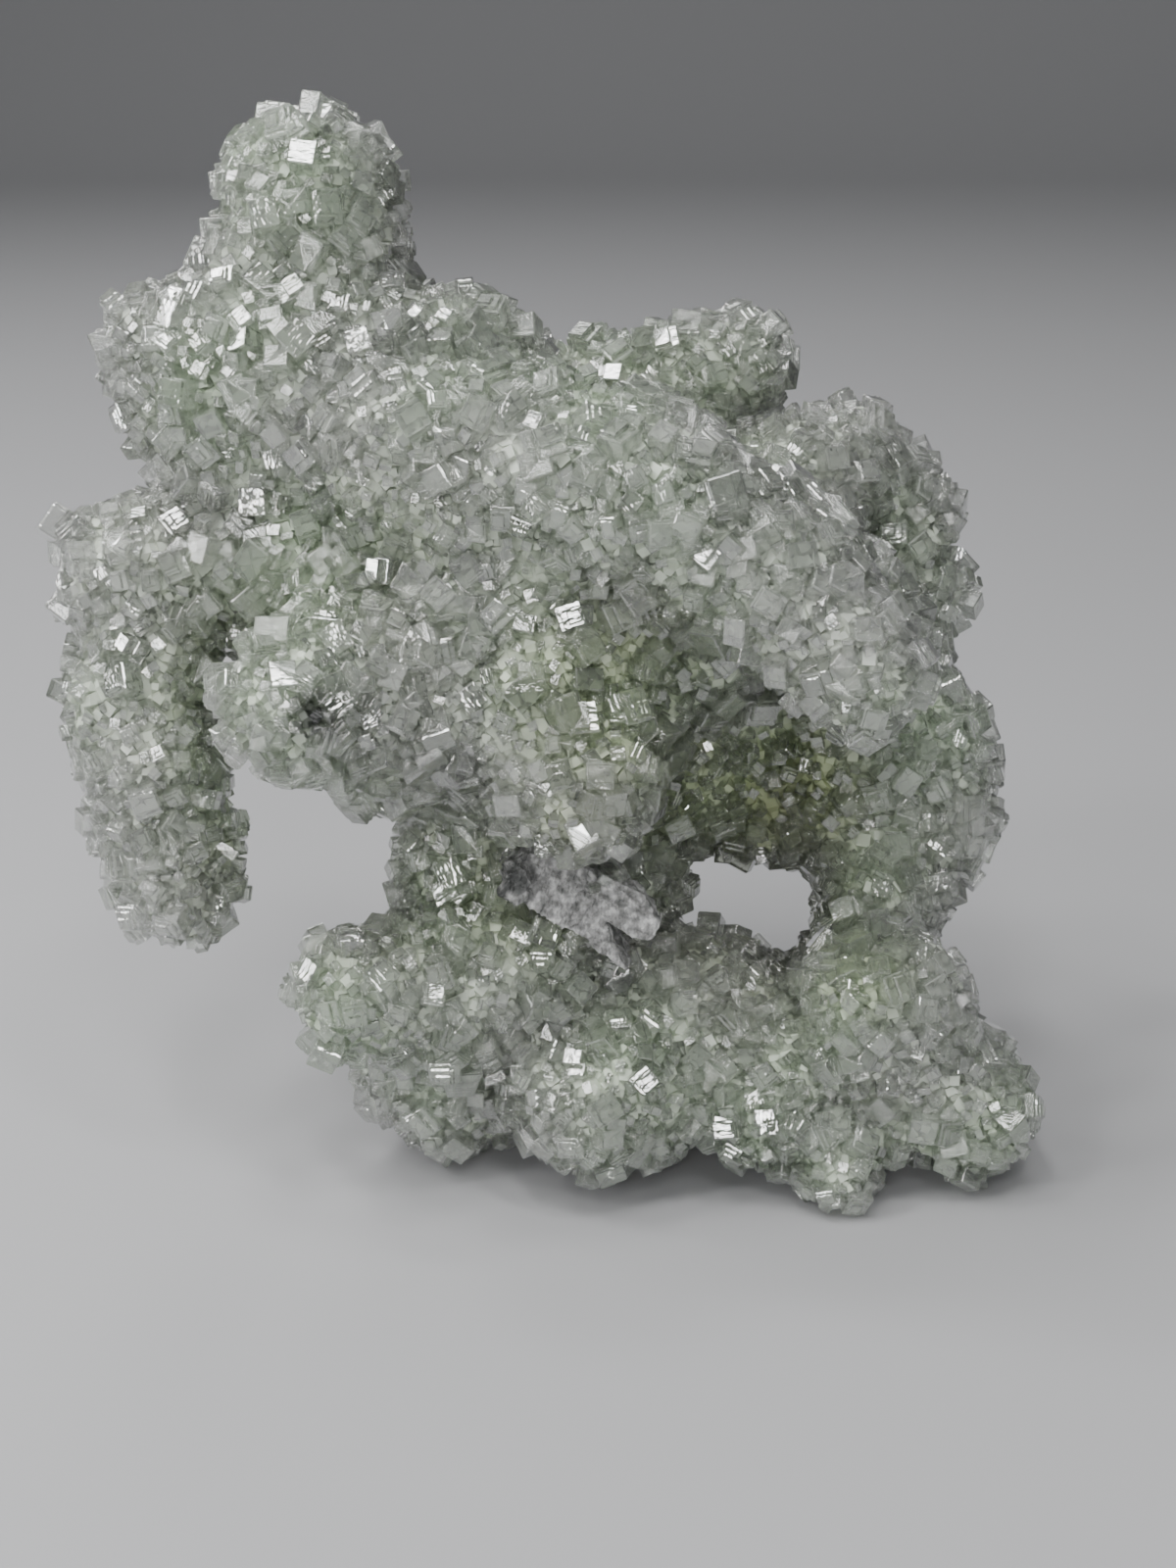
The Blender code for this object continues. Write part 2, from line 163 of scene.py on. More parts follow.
def groundUnder(tree, pixel):
    # where the ground shows at that pixel and its normal there, or the ground nearest to the pixel's ray
    place, direction = rayThrough(pixel)
    hit, normal = tree.ray_cast(place, direction)[:2]
    if hit is None:
        near = [tree.find_nearest(place + direction * i * mm) for i in range(120, 260)]
        hit, normal = min(near, key=lambda found: found[3])[:2]
    return hit, normal


def newObject(name, mesh):
    obj = bpy.data.objects.new(name, mesh)
    bpy.context.scene.collection.objects.link(obj)
    return obj


def evaluatedMesh(obj):
    graph = bpy.context.evaluated_depsgraph_get()
    return bpy.data.meshes.new_from_object(obj.evaluated_get(graph))


def storeAttribute(mesh, name, kind, domain, values):
    attribute = mesh.attributes.new(name, kind, domain)
    attribute.data.foreach_set("value", np.ascontiguousarray(values).ravel())


# Body: the milky prehnite that the crystals stand on, in one piece with its own small blunt crystals
body = {
    "voxel": 1.19,        # mm, size of the cells of its surface, which carry one blunt crystal each
    "gridTurn": (31, 23, 17),     # degrees
    "inset": 1.0,        # mm, the ground between the crystals lies this far inside the rounded cones
    "melt": 1.8,          # mm, how softly two chains run into each other
    "lumpSize": 5.5,      # mm, and how far the broad lumps swell
    "lumpHeight": 1.1,
    "knobSize": 3.2,
    "knobHeight": 0.5,
    "jitter": 0.20,       # mm, how far the cells' corners stray
    "grainHeight": (0.05, 0.75),  # mm
    "grainTop": (0.62, 0.98),     # size of a grain's end against its foot
    "sunk": 0.35,         # mm, the grains' feet lie this far under the feet of the clear crystals
    "grainTwist": 28.0,   # degrees
    "grainTilt": 20.0,
    "floorGap": 0.5,      # mm, the crystals' feet reach lower than the ground
    "opennessVoxel": 2.4,  # mm, faces of the rough copy that the openness is measured on
    "opennessRays": 56,
    "opennessReach": 30.0,
    "seed": 5,
}


def chainDistances(points):
    # how far each point is outside each chain, in mm, and the finger that every chain belongs to
    rows, owners = [], []
    for index, chains in enumerate(fingers.values()):
        for chain in chains:
            nearest = np.full(len(points), 1e9)
            for start, end in zip(chain[:-1], chain[1:]):
                foot = np.array(start[:3]) - baseCentre
                axis = np.array(end[:3]) - np.array(start[:3])
                along = np.clip((points - foot) @ axis / (axis @ axis), 0.0, 1.0)
                radius = start[3] + (end[3] - start[3]) * along
                away = np.linalg.norm(points - foot - along[:, None] * axis, axis=1) - radius
                nearest = np.minimum(nearest, away)
            rows.append(nearest)
            owners.append(index)
    return np.array(rows), np.array(owners)


def meltedDistance(points):
    rows, _ = chainDistances(points)
    lowest = rows.min(axis=0)
    spread = np.exp(-(rows - lowest) / body["melt"]).sum(axis=0)
    return lowest - body["melt"] * np.log(spread)


def meltedGradient(points, here):
    step = 0.05
    slope = [(meltedDistance(points + np.eye(3)[axis] * step) - here) / step for axis in range(3)]
    slope = np.array(slope).T
    return slope / np.maximum(np.linalg.norm(slope, axis=1), 1e-6)[:, None]


def roundedCones():
    bm = bmesh.new()
    for chains in fingers.values():
        for chain in chains:
            for start, end in zip(chain[:-1], chain[1:]):
                hull = bmesh.new()
                for x, y, z, radius in (start, end):
                    place = Matrix.Translation((Vector((x, y, z)) - Vector(baseCentre)) * mm)
                    bmesh.ops.create_icosphere(hull, subdivisions=2, radius=radius * mm, matrix=place)
                bmesh.ops.delete(hull, geom=list(hull.faces), context="FACES_ONLY")
                result = bmesh.ops.convex_hull(hull, input=hull.verts)
                inside = [item for item in result["geom_interior"] if isinstance(item, bmesh.types.BMVert)]
                bmesh.ops.delete(hull, geom=inside, context="VERTS")
                part = bpy.data.meshes.new("cone")
                hull.to_mesh(part)
                hull.free()
                bm.from_mesh(part)
                bpy.data.meshes.remove(part)
    mesh = bpy.data.meshes.new("cones")
    bm.to_mesh(mesh)
    bm.free()
    return mesh


def remeshed(mesh, voxel):
    # the grid of cells is turned, so that its rows follow no finger
    turn = Euler(tuple(math.radians(angle) for angle in body["gridTurn"])).to_matrix().to_4x4()
    mesh.transform(turn)
    obj = newObject("remeshed", mesh)
    modifier = obj.modifiers.new("remesh", "REMESH")
    modifier.mode = "VOXEL"
    modifier.voxel_size = voxel * mm
    result = evaluatedMesh(obj)
    bpy.data.objects.remove(obj)
    result.transform(turn.inverted())
    return result


def pointsOf(mesh):
    flat = np.zeros(len(mesh.vertices) * 3)
    mesh.vertices.foreach_get("co", flat)
    return flat.reshape(-1, 3) / mm


def settled(mesh, rounds):
    # draws the surface onto the melted cones
    points = pointsOf(mesh)
    for _ in range(rounds):
        here = meltedDistance(points)
        move = np.clip(here + body["inset"], -1.5, 1.5)
        points = points - meltedGradient(points, here) * move[:, None]
    mesh.vertices.foreach_set("co", (points * mm).ravel())
    mesh.update()


def lumpy(mesh):
    points = pointsOf(mesh)
    here = meltedDistance(points)
    outward = meltedGradient(points, here)
    swell = np.zeros(len(points))
    for index, point in enumerate(points):
        broad = noise.noise(Vector(point) / body["lumpSize"])
        cells = noise.voronoi(Vector(point) / body["knobSize"])[0][0]
        swell[index] = broad * body["lumpHeight"] + (0.5 - cells) * 2 * body["knobHeight"]
    points = points + outward * swell[:, None]
    points[:, 2] = np.maximum(points[:, 2], body["floorGap"])
    mesh.vertices.foreach_set("co", (points * mm).ravel())
    mesh.update()


def treeOf(mesh):
    corners = [vert.co.copy() for vert in mesh.vertices]
    return BVHTree.FromPolygons(corners, [tuple(face.vertices) for face in mesh.polygons])


def evenDirections(count):
    golden = math.pi * (3 - math.sqrt(5))
    heights = [1 - 2 * (i + 0.5) / count for i in range(count)]
    return [Vector((math.cos(i * golden) * math.sqrt(1 - h * h), math.sin(i * golden) * math.sqrt(1 - h * h), h))
            for i, h in enumerate(heights)]


def openness(mesh):
    # for each vertex, the share of the sky over it that no other finger hides; the finishes paint shade by it,
    # darker and greener where it is low
    rough = remeshed(mesh.copy(), body["opennessVoxel"])
    tree = treeOf(rough)
    directions = evenDirections(body["opennessRays"] * 2)
    reach = body["opennessReach"] * mm
    values = []
    for vert in rough.vertices:
        start = vert.co + vert.normal * 0.6 * mm
        seen, total = 0.0, 0.0
        for direction in directions:
            slant = direction.dot(vert.normal)
            if slant > 0.05:
                total += slant
                hit = tree.ray_cast(start, direction, reach)
                if hit[0] is None:
                    seen += slant
                else:
                    seen += slant * min(hit[3] / reach, 1.0) ** 0.5 * 0.6
        values.append(seen / total)
    faces = [tuple(face.vertices) for face in rough.polygons]
    result = np.zeros(len(mesh.vertices))
    for index, vert in enumerate(mesh.vertices):
        place, _, face, _ = tree.find_nearest(vert.co)
        weights = [1.0 / ((rough.vertices[corner].co - place).length + 1e-5) for corner in faces[face]]
        result[index] = sum(w * values[c] for w, c in zip(weights, faces[face])) / sum(weights)
    return result


# Spots, each placed by a pixel of the 1200 x 1600 frame: pixel, radius in mm, strength
spots = {
    "dark": [((320, 730), 1.9, 1.0), ((254, 549), 0.9, 1.0), ((590, 808), 0.7, 0.9), ((663, 570), 1.1, 0.6),
             ((600, 690), 1.0, 0.5), ((205, 585), 0.9, 0.35), ((600, 1190), 1.2, 0.4)],
    # the shaded spots are painted shade: they lower the openness, so the colour there turns darker and greener
    "shaded": [((800, 800), 9.0, 0.85), ((770, 850), 6.0, 0.6), ((550, 905), 8.0, 0.45), ((880, 990), 5.0, 0.4),
               ((625, 715), 11.0, 0.5), ((690, 800), 8.0, 0.65), ((600, 850), 6.0, 0.4)],
}


def spotStrength(mesh, kind):
    # how strongly each vertex lies in a spot of that kind
    tree = treeOf(mesh)
    points = pointsOf(mesh)
    strength = np.zeros(len(points))
    for pixel, radius, most in spots[kind]:
        hit, _ = groundUnder(tree, pixel)
        away = np.linalg.norm(points - np.array(hit) / mm, axis=1) / radius
        strength = np.maximum(strength, most * np.clip(1.6 * (1 - away), 0, 1))
    return strength


def makeGround():
    # the smooth surface under the crystals, with what the finishes and the crust read from it
    mesh = remeshed(roundedCones(), body["voxel"])
    settled(mesh, 3)
    lumpy(mesh)
    # painted shade: the openness, lowered in the shaded spots, is stored as the open attribute, which the finishes
    # darken and green by
    storeAttribute(mesh, "open", "FLOAT", "POINT", openness(mesh) * (1 - spotStrength(mesh, "shaded")))
    storeAttribute(mesh, "dark", "FLOAT", "POINT", spotStrength(mesh, "dark"))
    rows, owners = chainDistances(faceArrays(mesh)[1] / mm)
    storeAttribute(mesh, "finger", "INT", "FACE", owners[rows.argmin(axis=0)].astype(np.int32))
    return mesh


def faceArrays(mesh):
    count = len(mesh.polygons)
    corners = np.zeros(count * 4, dtype=np.int32)
    mesh.polygons.foreach_get("vertices", corners)
    centres = np.zeros(count * 3)
    mesh.polygons.foreach_get("center", centres)
    normals = np.zeros(count * 3)
    mesh.polygons.foreach_get("normal", normals)
    return corners.reshape(-1, 4), centres.reshape(-1, 3), normals.reshape(-1, 3)


def turned(vectors, axes, angles):
    # each vector turned about its own axis
    cosine, sine = np.cos(angles)[:, None], np.sin(angles)[:, None]
    along = (vectors * axes).sum(axis=1)[:, None] * axes
    return vectors * cosine + np.cross(axes, vectors) * sine + along * (1 - cosine)


def makeBody(ground):
    # every cell of the ground rises into one blunt square grain
    rng = np.random.default_rng(body["seed"])
    feet = pointsOf(ground)
    corners, centres, normals = faceArrays(ground)
    centres = centres / mm - normals * body["sunk"]
    outward = np.zeros(len(feet) * 3)
    ground.vertices.foreach_get("normal", outward)
    feet = feet - outward.reshape(-1, 3) * body["sunk"]
    count = len(corners)
    strayed = feet + rng.uniform(-1, 1, feet.shape) * body["jitter"]
    strayed[:, 2] = np.maximum(strayed[:, 2], body["floorGap"])
    first = feet[corners[:, 0]] - centres
    first -= (first * normals).sum(axis=1)[:, None] * normals
    reach = np.linalg.norm(first, axis=1)
    first /= reach[:, None]
    reach = np.linalg.norm(feet[corners] - centres[:, None], axis=2).mean(axis=1)
    reach *= rng.uniform(*body["grainTop"], count)
    twist = np.radians(rng.uniform(-1, 1, count) * body["grainTwist"])
    height = rng.uniform(0, 1, count) ** 1.4
    height = body["grainHeight"][0] + height * (body["grainHeight"][1] - body["grainHeight"][0])
    side = turned(first, normals, rng.uniform(0, math.tau, count))
    lean = np.radians(rng.uniform(0, body["grainTilt"], count))
    tops = []
    for quarter in range(4):
        spoke = turned(first, normals, twist + quarter * math.pi / 2) * reach[:, None]
        tops.append(centres + turned(spoke + normals * height[:, None], side, lean))
    tops = np.stack(tops, axis=1)
    tops[:, :, 2] = np.maximum(tops[:, :, 2], crust["floorGap"])
    points = np.concatenate([strayed, tops.reshape(-1, 3)])
    upper = len(feet) + np.arange(count * 4).reshape(-1, 4)
    faces = [upper]
    for i in range(4):
        j = (i + 1) % 4
        faces.append(np.stack([corners[:, i], corners[:, j], upper[:, j], upper[:, i]], axis=1))
    faces = np.concatenate(faces)
    mesh = bpy.data.meshes.new("prehnite_body")
    mesh.from_pydata((points * mm).tolist(), [], faces.tolist())
    # the grains take the ground's openness, which paints shade, and its dark spots
    for name in ("open", "dark"):
        low = np.zeros(len(feet))
        ground.attributes[name].data.foreach_get("value", low)
        high = np.repeat(low[corners].mean(axis=1), 4)
        storeAttribute(mesh, name, "FLOAT", "POINT", np.concatenate([low, high]))
    mesh.update()
    print("body:", len(faces) * 2, "triangles")
    return newObject("prehnite_body", mesh)


# Crystals: a few shapes of square prism, one unit wide and one unit high, standing on z = 0
crystalShapes = {
    "edge": 0.045,        # width of the bright edges of the finer shapes
    "tints": 8,           # copies of each shape that differ in clearness and in their growth lines
}


def blockMesh(low, high, edge):
    bm = bmesh.new()
    corners = [[bm.verts.new((x, y, z)) for x, y in ((low[0], low[1]), (high[0], low[1]),
                                                     (high[0], high[1]), (low[0], high[1]))]
               for z in (low[2], high[2])]
    for i in range(4):
        bm.faces.new((corners[0][i - 1], corners[0][i], corners[1][i], corners[1][i - 1]))
    bm.faces.new(reversed(corners[0]))
    bm.faces.new(corners[1])
    if edge:
        bmesh.ops.bevel(bm, geom=list(bm.edges), offset=edge, segments=1, affect="EDGES")
    bmesh.ops.recalc_face_normals(bm, faces=bm.faces)
    mesh = bpy.data.meshes.new("block")
    bm.to_mesh(mesh)
    bm.free()
    return mesh


def fusedBlocks(blocks, edge):
    # the first block with the others fused to it, as one closed mesh
    parts = [newObject("part", blockMesh(low, high, edge)) for low, high in blocks]
    for other in parts[1:]:
        fuse = parts[0].modifiers.new("fuse", "BOOLEAN")
        fuse.operation = "UNION"
        fuse.solver = "MANIFOLD"
        fuse.object = other
    mesh = evaluatedMesh(parts[0])
    for part in parts:
        bpy.data.objects.remove(part)
    return mesh


def makeShapes():
    # the plain shapes come first: the small crystals take those, and the large ones take the rest
    edge = crystalShapes["edge"]
    plans = [
        ("plain", 0.0, [((-0.5, -0.5, 0), (0.5, 0.5, 1.0))]),
        ("flat", 0.0, [((-0.5, -0.32, 0), (0.5, 0.32, 0.9))]),
        ("prism", edge, [((-0.5, -0.5, 0), (0.5, 0.5, 1.0))]),
        ("stepped", edge, [((-0.5, -0.5, 0), (0.5, 0.5, 0.84)), ((-0.44, -0.4, 0.1), (0.2, 0.45, 1.0))]),
        ("terrace", edge, [((-0.5, -0.5, 0), (0.5, 0.5, 0.82)), ((-0.35, -0.45, 0.1), (0.45, 0.3, 0.92)),
                           ((-0.1, -0.3, 0.1), (0.4, 0.2, 1.0))]),
        ("pair", edge, [((-0.55, -0.4, 0), (0.15, 0.35, 1.0)), ((-0.05, -0.2, 0.05), (0.55, 0.5, 0.74))]),
    ]
    shapes = bpy.data.collections.new("crystalShapes")
    for order, (name, width, blocks) in enumerate(plans):
        for tint in range(crystalShapes["tints"]):
            mesh = fusedBlocks(blocks, width)
            flat = np.zeros(len(mesh.vertices) * 3)
            mesh.vertices.foreach_get("co", flat)
            local = mesh.attributes.new("local", "FLOAT_VECTOR", "POINT")
            local.data.foreach_set("vector", flat)
            chance = (tint + 0.5) / crystalShapes["tints"]
            storeAttribute(mesh, "chance", "FLOAT", "POINT", np.full(len(mesh.vertices), chance))
            shapes.objects.link(bpy.data.objects.new(f"{order}{tint}{name}", mesh))
    return shapes, 2 * crystalShapes["tints"]


# Crust: the clear crystals on every finger, many small and few large, all fused into one clear skin
crust = {
    "sizes": {"Spacing": 0.96, "Least width": 0.8, "Most width": 2.5, "Least height": 1.15,
              "Most height": 2.9, "Sink": 0.5},  # mm
    "habits": {"Density": 3e6, "Rarity": 3.0, "Large from": 0.10, "Tilt": 0.4, "Swirl": 0.9, "Seed": 3},
    "lowestFoot": 1.3,    # mm, no crystal starts lower than this
    "floorGap": 0.04,     # mm, where the crystals that reach the floor end
}


def addNode(tree, kind, **settings):
    node = tree.nodes.new(kind)
    for key, value in settings.items():
        setattr(node, key, value)
    return node


def newInput(tree, name, kind, value=None):
    socket = tree.interface.new_socket(name=name, in_out="INPUT", socket_type=kind)
    if value is not None:
        socket.default_value = value
    return socket


def vectorMath(tree, operation, first, second=None, factor=None):
    node = addNode(tree, "ShaderNodeVectorMath", operation=operation)
    tree.links.new(first, node.inputs[0])
    if second is not None:
        tree.links.new(second, node.inputs[1])
    if factor is not None:
        tree.links.new(factor, node.inputs["Scale"])
    return node.outputs[0]


def scalarMath(tree, operation, first, second):
    node = addNode(tree, "ShaderNodeMath", operation=operation)
    for socket, value in zip(node.inputs, (first, second)):
        if isinstance(value, (int, float)):
            socket.default_value = value
        else:
            tree.links.new(value, socket)
    return node.outputs[0]


def randomValue(tree, seed, low, high, offset):
    node = addNode(tree, "FunctionNodeRandomValue", data_type="FLOAT")
    for index, value in ((2, low), (3, high)):
        if isinstance(value, (int, float)):
            node.inputs[index].default_value = value
        else:
            tree.links.new(value, node.inputs[index])
    tree.links.new(scalarMath(tree, "ADD", seed, offset), node.inputs["Seed"])
    return node.outputs[1]


def crustTree(plainShapes, allShapes):
    tree = bpy.data.node_groups.new("crystalCrust", "GeometryNodeTree")
    newInput(tree, "Geometry", "NodeSocketGeometry")
    newInput(tree, "Finger", "NodeSocketInt", 0)
    newInput(tree, "Shapes", "NodeSocketCollection")
    newInput(tree, "Material", "NodeSocketMaterial")
    for name in (*crust["sizes"], "Density", "Rarity", "Large from", "Tilt", "Swirl", "Lowest foot"):
        newInput(tree, name, "NodeSocketFloat", 1.0)
    newInput(tree, "Seed", "NodeSocketInt", 1)
    tree.interface.new_socket(name="Geometry", in_out="OUTPUT", socket_type="NodeSocketGeometry")
    inputs = addNode(tree, "NodeGroupInput").outputs
    link = tree.links.new

    # where the crystals stand
    onFinger = addNode(tree, "GeometryNodeInputNamedAttribute", data_type="INT")
    onFinger.inputs["Name"].default_value = "finger"
    same = addNode(tree, "FunctionNodeCompare", data_type="INT", operation="EQUAL")
    link(onFinger.outputs["Attribute"], same.inputs[2])
    link(inputs["Finger"], same.inputs[3])
    scatter = addNode(tree, "GeometryNodeDistributePointsOnFaces", distribute_method="POISSON")
    link(inputs["Geometry"], scatter.inputs["Mesh"])
    link(same.outputs[0], scatter.inputs["Selection"])
    link(inputs["Spacing"], scatter.inputs["Distance Min"])
    link(inputs["Density"], scatter.inputs["Density Max"])
    link(inputs["Seed"], scatter.inputs["Seed"])

    # a crystal's axis leaves the surface's normal by a slow swirl, which its neighbours share, and by chance
    position = addNode(tree, "GeometryNodeInputPosition").outputs[0]
    swirl = addNode(tree, "ShaderNodeTexNoise", noise_dimensions="3D")
    swirl.inputs["Scale"].default_value = 260.0
    swirl.inputs["Detail"].default_value = 0.0
    link(position, swirl.inputs["Vector"])
    centred = addNode(tree, "ShaderNodeVectorMath", operation="SUBTRACT")
    centred.inputs[1].default_value = (0.5, 0.5, 0.5)
    link(swirl.outputs["Color"], centred.inputs[0])
    slow = vectorMath(tree, "SCALE", centred.outputs[0], factor=inputs["Swirl"])
    chance = addNode(tree, "FunctionNodeRandomValue", data_type="FLOAT_VECTOR")
    chance.inputs[0].default_value = (-1.0, -1.0, -1.0)
    chance.inputs[1].default_value = (1.0, 1.0, 1.0)
    link(inputs["Seed"], chance.inputs["Seed"])
    quick = vectorMath(tree, "SCALE", chance.outputs[0], factor=inputs["Tilt"])
    axis = vectorMath(tree, "ADD", vectorMath(tree, "ADD", scatter.outputs["Normal"], slow), quick)
    upright = addNode(tree, "FunctionNodeAlignRotationToVector", axis="Z")
    link(axis, upright.inputs["Vector"])
    turn = addNode(tree, "FunctionNodeAxisAngleToRotation")
    turn.inputs["Axis"].default_value = (0.0, 0.0, 1.0)
    twist = scalarMath(tree, "MULTIPLY", swirl.outputs[0], 9.0)
    link(scalarMath(tree, "ADD", twist, randomValue(tree, inputs["Seed"], -0.4, 0.4, 11)), turn.inputs["Angle"])
    turned = addNode(tree, "FunctionNodeRotateRotation", rotation_space="LOCAL")
    link(upright.outputs[0], turned.inputs["Rotation"])
    link(turn.outputs[0], turned.inputs["Rotate By"])

    # small crystals are more common than large ones
    draw = randomValue(tree, inputs["Seed"], 0.0, 1.0, 21)
    share = scalarMath(tree, "POWER", draw, inputs["Rarity"])
    span = scalarMath(tree, "SUBTRACT", inputs["Most width"], inputs["Least width"])
    width = scalarMath(tree, "ADD", inputs["Least width"], scalarMath(tree, "MULTIPLY", span, share))
    squareness = randomValue(tree, inputs["Seed"], 0.8, 1.2, 31)
    rise = scalarMath(tree, "SUBTRACT", inputs["Most height"], inputs["Least height"])
    tall = scalarMath(tree, "ADD", scalarMath(tree, "MULTIPLY", share, 0.7),
                      randomValue(tree, inputs["Seed"], 0.0, 0.3, 41))
    height = scalarMath(tree, "ADD", inputs["Least height"], scalarMath(tree, "MULTIPLY", rise, tall))
    size = addNode(tree, "ShaderNodeCombineXYZ")
    link(width, size.inputs[0])
    link(scalarMath(tree, "MULTIPLY", width, squareness), size.inputs[1])
    link(height, size.inputs[2])

    low = scalarMath(tree, "MULTIPLY", inputs["Sink"], -1.0)
    sunk = addNode(tree, "GeometryNodeSetPosition")
    link(scatter.outputs["Points"], sunk.inputs["Geometry"])
    link(vectorMath(tree, "SCALE", scatter.outputs["Normal"], factor=low), sunk.inputs["Offset"])
    split = addNode(tree, "ShaderNodeSeparateXYZ")
    link(position, split.inputs[0])
    above = addNode(tree, "FunctionNodeCompare", data_type="FLOAT", operation="GREATER_THAN")
    link(split.outputs[2], above.inputs[0])
    link(inputs["Lowest foot"], above.inputs[1])

    # the shape, by the crystal's size
    shapes = addNode(tree, "GeometryNodeCollectionInfo")
    shapes.inputs["Separate Children"].default_value = True
    shapes.inputs["Reset Children"].default_value = True
    link(inputs["Shapes"], shapes.inputs["Collection"])
    large = addNode(tree, "FunctionNodeCompare", data_type="FLOAT", operation="GREATER_THAN")
    link(share, large.inputs[0])
    link(inputs["Large from"], large.inputs[1])
    pick = addNode(tree, "GeometryNodeSwitch", input_type="INT")
    link(large.outputs[0], pick.inputs[0])
    for socket, first, last, offset in ((1, 0, plainShapes - 1, 61), (2, plainShapes, allShapes - 1, 71)):
        which = addNode(tree, "FunctionNodeRandomValue", data_type="INT")
        which.inputs[4].default_value = first
        which.inputs[5].default_value = last
        link(scalarMath(tree, "ADD", inputs["Seed"], offset), which.inputs["Seed"])
        link(which.outputs[2], pick.inputs[socket])
    stand = addNode(tree, "GeometryNodeInstanceOnPoints")
    link(sunk.outputs[0], stand.inputs["Points"])
    link(above.outputs[0], stand.inputs["Selection"])
    link(shapes.outputs[0], stand.inputs["Instance"])
    stand.inputs["Pick Instance"].default_value = True
    link(pick.outputs[0], stand.inputs["Instance Index"])
    link(turned.outputs[0], stand.inputs["Rotation"])
    link(size.outputs[0], stand.inputs["Scale"])

    # all crystals of the finger grow together
    fuse = addNode(tree, "GeometryNodeMeshBoolean", operation="UNION", solver="MANIFOLD")
    link(stand.outputs[0], fuse.inputs[1])
    kept = fuse.outputs[0]
    # each crystal takes the openness under it, which paints shade on the crust, and the dark spots
    for name in ("open", "dark"):
        below = addNode(tree, "GeometryNodeInputNamedAttribute", data_type="FLOAT")
        below.inputs["Name"].default_value = name
        nearest = addNode(tree, "GeometryNodeSampleNearestSurface", data_type="FLOAT")
        link(inputs["Geometry"], nearest.inputs["Mesh"])
        link(below.outputs["Attribute"], nearest.inputs["Value"])
        keep = addNode(tree, "GeometryNodeStoreNamedAttribute", data_type="FLOAT", domain="POINT")
        keep.inputs["Name"].default_value = name
        link(kept, keep.inputs["Geometry"])
        link(nearest.outputs["Value"], keep.inputs["Value"])
        kept = keep.outputs[0]
    real = addNode(tree, "GeometryNodeRealizeInstances")
    link(kept, real.inputs[0])
    finish = addNode(tree, "GeometryNodeSetMaterial")
    link(real.outputs[0], finish.inputs["Geometry"])
    link(inputs["Material"], finish.inputs["Material"])
    link(finish.outputs[0], addNode(tree, "NodeGroupOutput").inputs[0])
    return tree


def inputKeys(tree):
    return {item.name: item.identifier for item in tree.interface.items_tree if item.in_out == "INPUT"}


def crustOf(ground, tree, shapes, fingerNumber, material, **changes):
    holder = newObject("holder", ground.copy())
    modifier = holder.modifiers.new("crust", "NODES")
    modifier.node_group = tree
    keys = inputKeys(tree)
    modifier[keys["Finger"]] = fingerNumber
    modifier[keys["Shapes"]] = shapes
    modifier[keys["Material"]] = material
    modifier[keys["Lowest foot"]] = crust["lowestFoot"] * mm
    for name, value in {**crust["sizes"], **changes}.items():
        modifier[keys[name]] = value * mm
    for name, value in crust["habits"].items():
        modifier[keys[name]] = value
    mesh = evaluatedMesh(holder)
    bpy.data.objects.remove(holder)
    points = pointsOf(mesh)
    points[:, 2] = np.maximum(points[:, 2], crust["floorGap"])
    mesh.vertices.foreach_set("co", (points * mm).ravel())
    mesh.update()
    return mesh


# Large crystals that show one by one, each placed by a pixel of the 1200 x 1600 frame
largeCrystals = {
    "sink": 1.0,          # mm, how deep each starts under the ground
    "stout": 1.15,        # height over the crystal's width
    # openness that the painted shade reads, the same all over each one
    "open": 0.85,
    "offMirror": 2.1,     # degrees that a mirroring end is off, so that only a part of it shines
    "list": [
        # pixel, width in mm, turn in degrees, shape, whether its end mirrors a lamp
        ((583, 630), 2.1, 20, "47terrace", True),
        ((403, 584), 2.1, 5, "35stepped", True),
        ((176, 540), 2.0, 30, "47terrace", True),
        ((737, 510), 3.0, 15, "35stepped", False),
        ((78, 548), 2.7, 25, "27prism", False),
        ((655, 1100), 1.9, 40, "47terrace", True),
        ((745, 1148), 2.0, 15, "47terrace", True),
    ],
}


def makeLargeCrystals(ground, material):
    tree = treeOf(ground)
    pieces = []
    for number, (pixel, width, turnAngle, shape, mirrors) in enumerate(largeCrystals["list"]):
        place, _ = cameraPlace()
        hit, normal = groundUnder(tree, pixel)
        if mirrors:
            halfways = [((place - hit).normalized() + (lamp - hit).normalized()).normalized()
                        for lamp in glintPlaces()]
            normal = max(halfways, key=normal.dot)
            normal.rotate(Matrix.Rotation(math.radians(largeCrystals["offMirror"]), 3, "X"))
        height = width * largeCrystals["stout"] + largeCrystals["sink"]
        scale = Matrix.Diagonal((width * mm, width * mm, height * mm, 1.0))
        upright = normal.to_track_quat("Z", "Y").to_matrix().to_4x4()
        foot = Matrix.Translation(hit - normal * largeCrystals["sink"] * mm)
        mesh = bpy.data.objects[shape].data.copy()
        mesh.transform(foot @ upright @ Matrix.Rotation(math.radians(turnAngle), 4, "Z") @ scale)
        storeAttribute(mesh, "open", "FLOAT", "POINT", np.full(len(mesh.vertices), largeCrystals["open"]))
        storeAttribute(mesh, "dark", "FLOAT", "POINT", np.zeros(len(mesh.vertices)))
        mesh.materials.clear()
        mesh.materials.append(material)
        pieces.append(newObject(f"large_crystal_{number + 1}", mesh))
    return pieces


